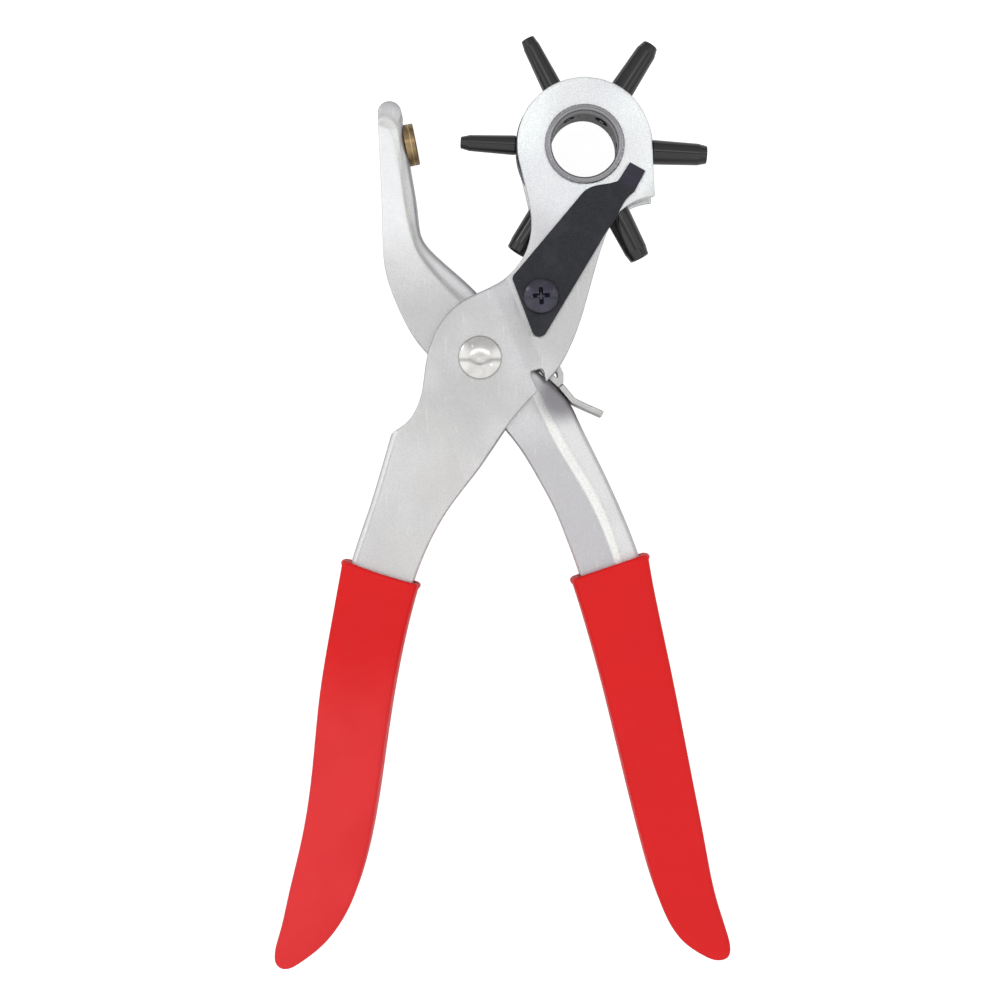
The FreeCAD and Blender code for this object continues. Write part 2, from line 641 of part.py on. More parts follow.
def lock_lever():
    """Handle catch: a strip looped round its pin, with a thumb tab."""
    eye = cylinder((LOCK_X, LOCK_Y), LOCK_EYE, -LOCK_EYE_HALF, LOCK_EYE_HALF)
    inner_leg = strip(LOCK_INNER_LEG, LOCK_EYE_HALF)
    outer_leg = strip(LOCK_OUTER_LEG, LOCK_EYE_HALF)
    tab = strip(LOCK_TAB, LOCK_TAB_HALF)
    body = eye.fuse([inner_leg, outer_leg, tab])
    return body.cut(cylinder((LOCK_X, LOCK_Y), LOCK_PIN + RUNNING_FIT, -9, 9)).removeSplitter()


def lock_pin():
    """Small plain pin through both cheeks, flush with their outer faces."""
    return cylinder((LOCK_X, LOCK_Y), LOCK_PIN, -LEVER_LOW, LEVER_LOW)


# --- grips ------------------------------------------------------------------------------
def grip(outer_run, inner_run, tip, top, side):
    """Dipped plastic sleeve over a tang, closed and rounded at its end."""
    outer = beside(outer_run, -side * GRIP_WALL)
    inner = beside(inner_run, side * GRIP_WALL)
    outer = [point for point in outer if point[1] < top[0][1] - GRIP_FIRST_SPAN]
    inner = [point for point in inner if point[1] < top[1][1] - GRIP_FIRST_SPAN]
    around = top[:1] + outer + tip + inner[::-1] + top[1:]
    edge = curve(around)
    body = slab(region([edge] + lines([around[-1], around[0]])), -GRIP_HALF, GRIP_HALF)
    body = round_along(body, edge, GRIP_HALF, GRIP_ROUND)
    bore_outer = beside(outer_run, -side * GRIP_CLEAR)
    bore_inner = beside(inner_run, side * GRIP_CLEAR)
    deep_outer = (bore_outer[-1][0], bore_outer[-1][1] - GRIP_END_GAP)
    deep_inner = (bore_inner[-1][0], bore_inner[-1][1] - GRIP_END_GAP)
    bore_edges = [curve(bore_outer), curve(bore_inner)]
    bore_edges += lines([bore_outer[0], bore_inner[0]])
    bore_edges += lines([bore_outer[-1], deep_outer, deep_inner, bore_inner[-1]])
    bore = slab(region(bore_edges), -GRIP_BORE_HALF, GRIP_BORE_HALF)
    return body.cut(bore)


def punch_lever_grip():
    """Grip on the punch lever's handle."""
    outer = PUNCH_OUTER + PUNCH_TANG_OUTER
    inner = PUNCH_INNER + PUNCH_TANG_INNER
    return grip(outer, inner, PUNCH_GRIP_TIP, PUNCH_GRIP_TOP, 1)


def anvil_lever_grip():
    """Grip on the anvil lever's handle."""
    outer = JAW_WEB + ANVIL_TANG_OUTER
    inner = JAW_OPEN + ANVIL_TANG_INNER
    return grip(outer, inner, ANVIL_GRIP_TIP, ANVIL_GRIP_TOP, -1)


def save(name, shape):
    """Lift a finished piece to its height above the bench and write it out."""
    piece = shape.copy()
    piece.translate(FreeCAD.Vector(0, 0, MID_HEIGHT))
    piece.exportStep("parts/" + name + ".step")


os.makedirs("parts", exist_ok=True)
save("punch_lever", punch_lever())
save("anvil_lever", anvil_lever())
save("anvil", anvil())
save("pivot_rivet", pivot_rivet())
save("pivot_bush", pivot_bush())
save("opening_spring", opening_spring())
save("punch_wheel", punch_wheel())
save("wheel_hub_tube", wheel_hub_tube())
for angle, hole in zip(tube_angles(), TUBES):
    save("punch_tube_" + str(hole).replace(".", "_"), punch_tube(hole, angle))
save("index_latch", index_latch())
save("latch_screw", latch_screw())
save("neck_spacer", neck_spacer())
save("lock_lever", lock_lever())
save("lock_pin", lock_pin())
save("punch_lever_grip", punch_lever_grip())
save("anvil_lever_grip", anvil_lever_grip())
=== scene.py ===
import json
import math

import bmesh
import bpy
from mathutils import Matrix, Vector
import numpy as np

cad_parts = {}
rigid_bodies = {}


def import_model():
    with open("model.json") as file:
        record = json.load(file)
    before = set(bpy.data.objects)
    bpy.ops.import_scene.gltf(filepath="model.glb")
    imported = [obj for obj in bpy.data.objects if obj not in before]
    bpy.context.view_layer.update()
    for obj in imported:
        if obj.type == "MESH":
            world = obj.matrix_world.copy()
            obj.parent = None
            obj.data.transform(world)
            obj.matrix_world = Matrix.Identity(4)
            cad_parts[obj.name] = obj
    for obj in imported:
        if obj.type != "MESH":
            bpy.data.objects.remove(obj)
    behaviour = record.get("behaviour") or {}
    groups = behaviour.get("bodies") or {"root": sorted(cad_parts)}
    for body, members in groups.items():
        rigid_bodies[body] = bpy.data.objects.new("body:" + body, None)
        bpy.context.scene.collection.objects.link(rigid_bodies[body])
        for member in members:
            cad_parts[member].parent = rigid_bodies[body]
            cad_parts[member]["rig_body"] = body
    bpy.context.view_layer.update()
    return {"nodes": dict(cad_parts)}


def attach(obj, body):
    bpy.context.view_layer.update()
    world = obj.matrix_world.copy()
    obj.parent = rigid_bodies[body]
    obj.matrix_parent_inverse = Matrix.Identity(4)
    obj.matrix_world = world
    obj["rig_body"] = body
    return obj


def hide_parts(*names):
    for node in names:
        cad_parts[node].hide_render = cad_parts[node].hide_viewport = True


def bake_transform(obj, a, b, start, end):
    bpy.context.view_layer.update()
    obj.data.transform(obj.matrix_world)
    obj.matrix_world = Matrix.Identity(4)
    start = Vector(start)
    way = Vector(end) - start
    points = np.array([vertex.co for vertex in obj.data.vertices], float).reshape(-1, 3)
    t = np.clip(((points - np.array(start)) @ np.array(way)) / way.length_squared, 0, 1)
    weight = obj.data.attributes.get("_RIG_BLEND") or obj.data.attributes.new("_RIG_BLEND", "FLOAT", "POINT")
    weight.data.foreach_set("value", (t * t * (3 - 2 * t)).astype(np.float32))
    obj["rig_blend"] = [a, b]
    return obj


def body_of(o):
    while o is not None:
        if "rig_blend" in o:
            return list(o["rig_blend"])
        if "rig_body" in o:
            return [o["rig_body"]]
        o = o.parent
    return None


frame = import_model()

# --- places, metres -----------------------------------------------------------------------
MM = 0.001
UP = (0.0, 0.0, 1.0)
MIDDLE = 9.5 * MM               # height of the tool's middle plane above the floor
WHEEL = (25.8 * MM, 52.8 * MM, MIDDLE)
PIVOT = (0.0, 0.0, MIDDLE)
SCREW = (15.0 * MM, 15.1 * MM, MIDDLE)
LOCK = (16.9 * MM, -1.4 * MM, MIDDLE)
ANVIL_FACE = (-16.0 * MM, 54.0 * MM, MIDDLE)
# centre of the painted shade on the anvil lever's web beside the pivot
SHADE_SPOT = (20.0 * MM, -9.0 * MM, MIDDLE)
TONGUE_END = (37.6 * MM, 45.4 * MM, MIDDLE)
NOSE_START = 58.0 * MM          # the jaw's nose is pressed rounder beyond this
SAG_REACH = 0.012               # how far down a sleeve its mouth's sag is felt
SAG_FADE = 0.003

# --- directions, degrees ------------------------------------------------------------------
ANVIL_TILT = 11.0
TUBE_START = 177.1              # the tube that faces the anvil
TUBE_STEP = 60                  # from one tube to the next

# --- sizes, millimetres -------------------------------------------------------------------
LEVER_VOXEL = 0.32
PLUG_RADIUS = 1.3               # covers the lock pin's end in a lever's cheek
PLUG_LOW = 5.5
PLUG_HIGH = 6.2
SPRING_COIL = 5.8               # radius of the coil's centre line
SPRING_WIRE = 0.55              # radius of the wire
SPRING_TURNS = 3
SPRING_PITCH = 1.5
SPRING_STEPS = 32               # points round one turn
LEFT_LEG = (-20.2, -23.0)       # where the spring's legs end, in plan
RIGHT_LEG = (23.4, -19.5)
SLUG_CLEAR = 0.3                # the slug holes are this much wider than the tube bores, all round
DRILL_START = 6                 # the slug holes are cut between these distances from the axis
DRILL_END = 12
HUB_BORE = 8.2
HUB_OUTER = 9.2
HUB_LIP = 9.85
HUB_LIP_START = 6.3             # heights above the middle plane
HUB_LIP_ROLL = 6.75
HUB_LIP_TOP = 7.1
THREAD_ROOT = 2.25
THREAD_CREST = 2.55
THREAD_START = 11.4             # distances from the wheel's axis
THREAD_PITCH = 0.9
THREAD_TURNS = 6
# each tube's bore, then its outer diameters at the base, the shoulder and the tip
TUBE_SIZES = {
    2.0: (4.9, 4.0, 2.7), 2.5: (5.1, 4.2, 3.2), 3.0: (6.1, 5.2, 3.7),
    3.5: (6.1, 5.4, 4.2), 4.0: (6.5, 5.8, 4.7), 4.5: (6.6, 6.0, 5.2),
}
RIVET_HEAD = 5.4
RIVET_DOME = 5.15
RIVET_SHANK = 3.5
RIVET_SEAT = 7.77               # height of the heads' inner faces
RIVET_STEPS = 24
DENT_START = 8.3                # the punch dent moves what lies above this height
DENT_WIDTH = 2.2
DENT_DEPTH = 0.3
ANVIL_RADIUS = 5.2
ANVIL_THICK = 2.7
ANVIL_STEM = 2.0
ANVIL_TAIL = 3.2
BEAD_RADIUS = 0.85              # the rolled lip round a sleeve's mouth
BEAD_DROP = 0.6
BEAD_INSET = 0.25
BEAD_HALF = 7.7                 # half height of the lip's centre line
SLEEVE_HALF = 8.0
BEAD_SQUARE = 0.38              # 1 would make the lip an ellipse, less is squarer
BEAD_AROUND = 96
BEAD_SECTION = 10
# each sleeve's mouth: its two corners in plan and how far its edge sags between them
GRIP_MOUTHS = {
    "punch_lever_grip": ((-33.9, -49.8), (-15.3, -55.9), 0.4),
    "anvil_lever_grip": ((22.7, -54.6), (41.4, -48.3), 0.0),
}

# --- view and light -----------------------------------------------------------------------
VIEW_SPOT = (4.9 * MM, -35.0 * MM)
VIEW_DISTANCE = 0.4625
VIEW_WIDTH = 0.250
SENSOR = 36.0
FLOOR_REACH = 2
FLOOR_LIGHT = 0.25              # how strongly the floor lights the tool
FLOOR_SEEN = 0.85               # how bright the floor looks to the camera
DOME_EDGE = 0.55
DOME_TOP = 1.0
BACK_LEVEL = 0.72               # the dome toward +Y, against the rest
BAR_GAIN = 1.2
STRIP_LEVEL = 0.5               # a dark strip across the dome
# soft panels round the tool: direction, edge and full angle in degrees, brightness
PANELS = [
    ((0.00, -0.50, 0.86), 45, 15, 0.18),
    ((-0.80, 0.05, 0.60), 40, 10, 0.45),
    ((0.80, 0.05, 0.60), 40, 10, 0.30),
    ((-0.72, 0.48, 0.50), 8, 4, 3.0),
]


# --- node graph helper --------------------------------------------------------------------
class Graph:
    """A material's node tree, with short calls for the nodes used here."""

    def __init__(self, name):
        self.material = bpy.data.materials.new(name)
        self.material.use_nodes = True
        self.tree = self.material.node_tree
        self.shader = self.tree.nodes["Principled BSDF"]
        spot = self.tree.nodes.new("ShaderNodeTexCoord").outputs["Object"]
        self.place = self.stretch(spot, (1000, 1000, 1000))

    def link(self, value, socket):
        if isinstance(value, bpy.types.NodeSocket):
            self.tree.links.new(value, socket)
        else:
            socket.default_value = value

    def stretch(self, vector, scale, turn=(0, 0, 0)):
        node = self.tree.nodes.new("ShaderNodeMapping")
        node.inputs["Scale"].default_value = scale
        node.inputs["Rotation"].default_value = turn
        self.link(vector, node.inputs["Vector"])
        return node.outputs["Vector"]

    def noise(self, size, detail=2.0, vector=None, rough=0.5):
        """Noise between 0 and 1 whose features are about size millimetres."""
        node = self.tree.nodes.new("ShaderNodeTexNoise")
        node.inputs["Scale"].default_value = 1 / size
        node.inputs["Detail"].default_value = detail
        node.inputs["Roughness"].default_value = rough
        self.link(vector or self.place, node.inputs["Vector"])
        return node.outputs["Fac"]

    def ramp(self, value, low, high, start=0.0, end=1.0):
        """The value between low and high, remapped to run from start to end."""
        node = self.tree.nodes.new("ShaderNodeMapRange")
        node.interpolation_type = "SMOOTHSTEP"
        self.link(value, node.inputs["Value"])
        node.inputs["From Min"].default_value = low
        node.inputs["From Max"].default_value = high
        node.inputs["To Min"].default_value = start
        node.inputs["To Max"].default_value = end
        return node.outputs["Result"]

    def mix(self, amount, first, second):
        node = self.tree.nodes.new("ShaderNodeMix")
        node.data_type = "RGBA"
        self.link(amount, node.inputs["Factor"])
        self.link(first, node.inputs[6])
        self.link(second, node.inputs[7])
        return node.outputs[2]

    def math(self, operation, first, second=0.0):
        node = self.tree.nodes.new("ShaderNodeMath")
        node.operation = operation
        self.link(first, node.inputs[0])
        self.link(second, node.inputs[1])
        return node.outputs[0]

    def both(self, first, second):
        """1 where both masks are 1."""
        return self.math("MULTIPLY", first, second)

    def between(self, value, rise, fall):
        """A mask that rises over the first pair of values and falls over the second."""
        return self.both(self.ramp(value, *rise), self.ramp(value, *fall))

    def parts(self, vector):
        """The X, Y and Z of a vector."""
        node = self.tree.nodes.new("ShaderNodeSeparateXYZ")
        self.link(vector, node.inputs[0])
        return node.outputs

    def bump(self, height, distance, normal=None):
        """A bump of the given depth in millimetres."""
        node = self.tree.nodes.new("ShaderNodeBump")
        node.inputs["Strength"].default_value = 1.0
        node.inputs["Distance"].default_value = distance * MM
        self.link(height, node.inputs["Height"])
        if normal is not None:
            self.link(normal, node.inputs["Normal"])
        return node.outputs["Normal"]

    def wear(self, low=0.52, high=0.60):
        """0 on flat faces, 1 on outward edges."""
        geometry = self.tree.nodes.new("ShaderNodeNewGeometry")
        return self.ramp(geometry.outputs["Pointiness"], low, high)

    def level(self, low=0.8, high=0.96):
        """1 on faces that look up or down, 0 on walls."""
        geometry = self.tree.nodes.new("ShaderNodeNewGeometry")
        upward = self.parts(geometry.outputs["Normal"])["Z"]
        return self.ramp(self.math("ABSOLUTE", upward), low, high)

    def away(self, centre, near, far):
        """0 within near millimetres of an upright axis, 1 beyond far."""
        moved = self.tree.nodes.new("ShaderNodeVectorMath")
        moved.operation = "SUBTRACT"
        self.link(self.place, moved.inputs[0])
        moved.inputs[1].default_value = (centre[0] / MM, centre[1] / MM, 0)
        flat = self.stretch(moved.outputs[0], (1, 1, 0))
        length = self.tree.nodes.new("ShaderNodeVectorMath")
        length.operation = "LENGTH"
        self.link(flat, length.inputs[0])
        return self.ramp(length.outputs["Value"], near, far)

    def height(self):
        """Height above the floor in millimetres."""
        return self.parts(self.place)["Z"]

    def done(self, colour, rough, normal=None, metal=0.0, **fixed):
        self.link(colour, self.shader.inputs["Base Color"])
        self.link(rough, self.shader.inputs["Roughness"])
        self.shader.inputs["Metallic"].default_value = metal
        if normal is not None:
            self.link(normal, self.shader.inputs["Normal"])
        for name, value in fixed.items():
            self.shader.inputs[name.replace("_", " ")].default_value = value
        return self.material


# --- materials ------------------------------------------------------------------------------
def lever_steel():
    """Zinc-plated pressed sheet: pale satin with a sandy grain and clouded tone, with painted highlight and
    painted shade in zones along the levers.
    """
    g = Graph("lever_steel")
    bright = (0.97, 0.98, 0.95, 1)
    height = g.height()
    along = g.parts(g.place)["Y"]
    grain = g.noise(0.34, 3.0, rough=0.7)
    cloud = g.noise(16.0, 2.0)
    hue = g.noise(30.0, 1.0)
    streaks = g.noise(0.5, 2.0, g.stretch(g.place, (1.0, 0.07, 1.0), (0, 0, 0.25)))
    # painted highlight and shade: the head is painted palest, the neck darkest and the handles between,
    # standing in for how light falls on their flats
    tone = g.mix(g.away(WHEEL, 15, 25), (0.92, 0.96, 0.965, 1), (0.55, 0.546, 0.545, 1))
    tone = g.mix(g.ramp(along, -10, -30), tone, (0.62, 0.612, 0.608, 1))
    tone = g.mix(g.ramp(hue, 0.42, 0.62, 0.0, 0.5), tone, (0.62, 0.61, 0.655, 1))
    tone = g.mix(g.ramp(cloud, 0.35, 0.65, 0.0, 0.22), tone, (0.86, 0.86, 0.84, 1))
    # painted highlight and shade on the anvil lever's raised flange: painted pale along the jaw, darker
    # along the handle
    flange = g.between(height, (15.2, 15.4), (15.58, 15.54))
    jaw = g.both(flange, g.ramp(along, 15, 35))
    tone = g.mix(jaw, tone, (0.82, 0.825, 0.835, 1))
    tone = g.mix(g.both(flange, g.ramp(along, -15, -25)), tone, (0.55, 0.54, 0.56, 1))
    # painted highlight: the lower band beside it and the slope between them are painted near white, standing
    # in for the light they catch
    low = g.both(g.level(), g.ramp(height, 15.25, 14.9))
    tone = g.mix(g.both(low, g.ramp(along, -5, -20, 0.0, 0.30)), tone, bright)
    slope = g.between(height, (14.35, 14.7), (15.45, 15.2))
    tone = g.mix(g.both(slope, g.level(0.45, 0.65)), tone, bright)
    speckle = g.both(g.ramp(grain, 0.40, 0.68, 0.0, 0.34), g.ramp(jaw, 0, 1, 1.0, 0.4))
    tone = g.mix(speckle, tone, (0.42, 0.42, 0.43, 1))
    tone = g.mix(g.ramp(streaks, 0.62, 0.8, 0.0, 0.25), tone, (0.95, 0.95, 0.95, 1))
    # painted shade: the anvil lever's web is painted dark beside the pivot, where the punch lever's cheek
    # shades it
    painted_shade = g.both(g.away(SHADE_SPOT, 9, 3), g.ramp(height, 15.58, 15.5))
    tone = g.mix(g.both(painted_shade, 0.75), tone, (0.13, 0.12, 0.14, 1))
    # pale edges: partly plating worn off the edges, partly a painted highlight along them
    tone = g.mix(g.both(g.wear(), 0.15), tone, (0.97, 0.97, 0.97, 1))
    rough = g.ramp(grain, 0.3, 0.7, 0.30, 0.48)
    bump = g.bump(grain, 0.05)
    bump = g.bump(g.noise(7.0, 1.0), 0.15, bump)
    return g.done(tone, rough, bump, metal=0.85)


def grip_plastic():
    """Dipped soft red plastic, satin, with slow waves and a faint fine texture."""
    g = Graph("grip_plastic")
    spot = g.parts(g.place)
    side = g.ramp(spot["X"], -45, 40)
    depth = g.ramp(spot["Y"], -95, -68)
    tone = g.mix(side, (0.76, 0.030, 0.034, 1), (0.72, 0.008, 0.010, 1))
    tone = g.mix(depth, tone, (0.72, 0.006, 0.007, 1))
    tone = g.mix(g.ramp(g.noise(14.0, 1.0), 0.4, 0.65, 0.0, 0.25), tone, (0.64, 0.008, 0.009, 1))
    # painted highlight: lighter red along the sleeve's outward edges
    tone = g.mix(g.wear(0.53, 0.62), tone, (0.80, 0.07, 0.07, 1))
    rough = g.ramp(g.noise(3.0, 3.0), 0.35, 0.65, 0.40, 0.52)
    bump = g.bump(g.noise(0.35, 2.0), 0.006)
    bump = g.bump(g.noise(9.0, 2.0), 0.18, bump)
    return g.done(
        tone, rough, bump,
        Specular_IOR_Level=0.22, Subsurface_Weight=0.05, Subsurface_Scale=0.002,
    )


def blackened(name, tone, sheen, rough_low, rough_high, coat=0.0, tint=None, metal=0.5, coat_rough=0.12):
    """Blackened steel: dark oxide with paler worn edges and fine tool marks."""
    g = Graph(name)
    marks = g.noise(0.3, 3.0)
    colour = g.mix(g.ramp(marks, 0.4, 0.7, 0.0, 0.6), tone, sheen)
    colour = g.mix(g.ramp(g.noise(5.0, 2.0), 0.45, 0.7, 0.0, 0.5), colour, sheen)
    if tint:
        spot, shade = tint
        colour = g.mix(g.away(spot, 5, 2), colour, shade)
    colour = g.mix(g.wear(0.53, 0.60), colour, (0.22, 0.22, 0.23, 1))
    rough = g.ramp(g.noise(1.2, 3.0), 0.35, 0.65, rough_low, rough_high)
    return g.done(
        colour, rough, g.bump(marks, 0.012), metal=metal,
        Specular_IOR_Level=metal, Coat_Weight=coat, Coat_Roughness=coat_rough,
    )


def rings(g, centre, pitch, turn=(0, 0, 0)):
    """Fine turning marks, 0 to 1, about an axis through a centre."""
    moved = g.tree.nodes.new("ShaderNodeMapping")
    moved.inputs["Location"].default_value = tuple(-c / MM for c in centre)
    g.link(g.place, moved.inputs["Vector"])
    wave = g.tree.nodes.new("ShaderNodeTexWave")
    wave.wave_type = "RINGS"
    wave.rings_direction = "Z"
    wave.inputs["Scale"].default_value = math.tau / 20 / pitch
    wave.inputs["Distortion"].default_value = 0.8
    wave.inputs["Detail"].default_value = 2.0
    g.link(g.stretch(moved.outputs[0], (1, 1, 1), turn), wave.inputs["Vector"])
    return wave.outputs["Fac"]


def hub_steel():
    """Turned steel tube: bright grooved lips, and a bore with painted shade, paler just inside the lips and
    near black deeper down.
    """
    g = Graph("hub_steel")
    marks = rings(g, WHEEL, 0.42)
    tone = g.mix(g.ramp(marks, 0.1, 0.9, 0.0, 0.6), (0.32, 0.315, 0.33, 1), (0.18, 0.177, 0.19, 1))
    tone = g.mix(g.ramp(g.noise(2.5, 3.0), 0.4, 0.7, 0.0, 0.4), tone, (0.26, 0.255, 0.27, 1))
    # painted light and shade in the bore: paler just inside the lips, near black deeper down where shade
    # falls
    bore = g.away(WHEEL, 8.42, 8.30)
    tone = g.mix(g.both(bore, g.ramp(g.height(), 16.1, 15.4)), tone, (0.34, 0.335, 0.352, 1))
    tone = g.mix(g.both(bore, g.ramp(g.height(), 13.4, 11.8)), tone, (0.02, 0.02, 0.024, 1))
    tone = g.mix(g.wear(0.54, 0.64), tone, (0.62, 0.62, 0.62, 1))
    gloss = g.ramp(g.noise(0.6, 3.0), 0.3, 0.7, 0.22, 0.34)
    return g.done(tone, gloss, g.bump(marks, 0.006), metal=1.0)


def anvil_brass():
    """Turned brass, tarnished brown in patches."""
    g = Graph("anvil_brass")
    marks = rings(g, ANVIL_FACE, 0.35, (0, math.radians(-90), math.radians(-ANVIL_TILT)))
    tone = g.mix(g.ramp(marks, 0.1, 0.9, 0.0, 0.3), (0.33, 0.235, 0.125, 1), (0.20, 0.135, 0.075, 1))
    tone = g.mix(g.ramp(g.noise(3.5, 3.0), 0.42, 0.66, 0.0, 0.7), tone, (0.16, 0.105, 0.065, 1))
    tone = g.mix(g.wear(0.53, 0.62), tone, (0.70, 0.52, 0.24, 1))
    gloss = g.ramp(g.noise(0.8, 3.0), 0.3, 0.7, 0.22, 0.36)
    return g.done(tone, gloss, g.bump(marks, 0.005), metal=1.0)


def plated(name, colour, rough, depth=0.01):
    """Bright plated steel with faint mottling."""
    g = Graph(name)
    shade = tuple(c * 0.78 for c in colour[:3]) + (1,)
    tone = g.mix(g.ramp(g.noise(1.8, 3.0), 0.35, 0.7, 0.0, 0.4), colour, shade)
    tone = g.mix(g.wear(0.53, 0.62), tone, (0.97, 0.97, 0.97, 1))
    gloss = g.ramp(g.noise(0.8, 3.0), 0.3, 0.7, rough, rough + 0.1)
    return g.done(tone, gloss, g.bump(g.noise(1.0, 2.0), depth), metal=1.0)


MATERIALS = {
    "lever_steel": lever_steel(),
    "grip_plastic": grip_plastic(),
    "rivet_steel": plated("rivet_steel", (0.65, 0.64, 0.625, 1), 0.09, 0.008),
    "plain_steel": plated("plain_steel", (0.60, 0.60, 0.61, 1), 0.28),
    "spring_steel": plated("spring_steel", (0.48, 0.47, 0.45, 1), 0.25),
    "catch_steel": plated("catch_steel", (0.52, 0.515, 0.51, 1), 0.28),
    "hub_steel": hub_steel(),
    "anvil_brass": anvil_brass(),
    "wheel_black": blackened(
        "wheel_black", (0.018, 0.018, 0.020, 1), (0.04, 0.04, 0.042, 1), 0.35, 0.5,
    ),
    "tube_black": blackened(
        "tube_black", (0.007, 0.007, 0.008, 1), (0.016, 0.016, 0.017, 1), 0.3, 0.4,
        coat=1.0, metal=0.05, coat_rough=0.05,
    ),
    "latch_black": blackened(
        "latch_black", (0.015, 0.016, 0.020, 1), (0.035, 0.036, 0.043, 1), 0.42, 0.55,
        tint=(TONGUE_END, (0.030, 0.026, 0.044, 1)),
    ),
    "screw_black": blackened(
        "screw_black", (0.026, 0.025, 0.042, 1), (0.05, 0.048, 0.075, 1), 0.14, 0.24, coat=0.3,
    ),
}


# --- making pieces ------------------------------------------------------------------------------
def present(mesh, node):
    """Makes the mesh the piece that stands for a CAD node, in its slot, and hides the node."""
    source = frame["nodes"][node]
    slot = source.data.materials[0].name
    mesh.materials.clear()
    mesh.materials.append(MATERIALS[slot])
    obj = bpy.data.objects.new(node + "_piece", mesh)
    bpy.context.collection.objects.link(obj)
    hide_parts(node)
    return obj


def settle(obj, node):
    """The piece rides on the body of the CAD node that it stands for."""
    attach(obj, body_of(frame["nodes"][node])[0])
    return obj


def mesh_of(bm, name):
    """A smooth-shaded mesh with outward faces, and the bmesh freed."""
    bmesh.ops.recalc_face_normals(bm, faces=bm.faces)
    mesh = bpy.data.meshes.new(name)
    bm.to_mesh(mesh)
    bm.free()
    mesh.shade_smooth()
    return mesh


def worked(mesh, *steps):
    """The mesh after modifiers, each step being (kind, {setting: value})."""
    obj = bpy.data.objects.new("work", mesh)
    bpy.context.collection.objects.link(obj)
    for kind, settings in steps:
        modifier = obj.modifiers.new(kind, kind)
        for name, value in settings.items():
            setattr(modifier, name, value)
    result = bpy.data.meshes.new_from_object(obj.evaluated_get(bpy.context.evaluated_depsgraph_get()))
    bpy.data.objects.remove(obj)
    result.shade_smooth()
    return result


def cad_shape(node):
    """A CAD node's own shape, its facets welded."""
    bm = bmesh.new()
    bm.from_mesh(frame["nodes"][node].data)
    bmesh.ops.remove_doubles(bm, verts=bm.verts, dist=1e-6)
    return bm


def skin(mesh, voxel, passes):
    """One even skin over a shape, its edges rounded as pressing or moulding leaves them."""
    return worked(
        mesh,
        ("REMESH", {"mode": "VOXEL", "voxel_size": voxel * MM}),
        ("SMOOTH", {"factor": 0.5, "iterations": passes}),
    )


def soften(mesh, chosen, passes):
    """Rounds over the part of a mesh that the test chooses, in height only, so its outline stays."""
    bm = bmesh.new()
    bm.from_mesh(mesh)
    spots = [vertex for vertex in bm.verts if chosen(vertex.co)]
    for _ in range(passes):
        bmesh.ops.smooth_vert(bm, verts=spots, factor=0.5, use_axis_z=True)
    bm.to_mesh(mesh)
    bm.free()
    mesh.shade_smooth()


def place(bm, centre, axis):
    """Moves a shape made about the upright axis to its centre and direction."""
    turn = Vector(UP).rotation_difference(Vector(axis)).to_matrix().to_4x4()
    bmesh.ops.transform(bm, matrix=Matrix.Translation(centre) @ turn, verts=bm.verts)


def lathe(profile, centre, axis=UP, steps=96):
    """A turned solid: (radius, height) points in millimetres spun about an axis."""
    bm = bmesh.new()
    corners = [bm.verts.new((radius * MM, 0, height * MM)) for radius, height in profile]
    edges = [bm.edges.new(pair) for pair in zip(corners[:-1], corners[1:])]
    if profile[0][0] > 0:
        edges.append(bm.edges.new((corners[-1], corners[0])))
    bmesh.ops.spin(
        bm, geom=corners + edges, cent=(0, 0, 0), axis=UP,
        angle=math.tau, steps=steps, use_merge=True,
    )
    bmesh.ops.remove_doubles(bm, verts=bm.verts, dist=1e-6)
    place(bm, centre, axis)
    return bm


def box_profile(inner, outer, low, high):
    """The profile of a plain tube, or of a rod where inner is 0."""
    return [(inner, low), (outer, low), (outer, high), (inner, high)]


def merge(bm, other):
    """Adds another bmesh's faces to the first, and frees the other."""
    mesh = bpy.data.meshes.new("merged")
    other.to_mesh(mesh)
    other.free()
    bm.from_mesh(mesh)
    bpy.data.meshes.remove(mesh)


def turned_piece(node, profile, centre, axis=UP, rounding=0.2):
    """A lathe piece with small rounded corners."""
    mesh = worked(
        mesh_of(lathe(profile, centre, axis), node),
        ("BEVEL", {"width": rounding * MM, "segments": 3, "angle_limit": math.radians(25)}),
        ("WEIGHTED_NORMAL", {"keep_sharp": True}),
    )
    return settle(present(mesh, node), node)


def levers():
    """The two pressed-sheet levers; the lock pin's ends are riveted flush and plated over."""
    bm = cad_shape("punch_lever")
    plug = box_profile(0, PLUG_RADIUS, PLUG_LOW, PLUG_HIGH)
    for side in (-1, 1):
        merge(bm, lathe(plug, LOCK, (0, 0, side), 32))
    mesh = skin(mesh_of(bm, "punch_lever"), LEVER_VOXEL, 4)
    settle(present(mesh, "punch_lever"), "punch_lever")
    mesh = skin(mesh_of(cad_shape("anvil_lever"), "anvil_lever"), LEVER_VOXEL, 4)
    soften(mesh, lambda spot: spot.y > NOSE_START, 60)
    settle(present(mesh, "anvil_lever"), "anvil_lever")


def small_pressings():
    """The wheel, latch and lock lever keep their CAD shapes under a finer skin."""
    for node, voxel in (("punch_wheel", 0.24), ("index_latch", 0.18), ("lock_lever", 0.16)):
        mesh = skin(mesh_of(cad_shape(node), node), voxel, 4)
        settle(present(mesh, node), node)


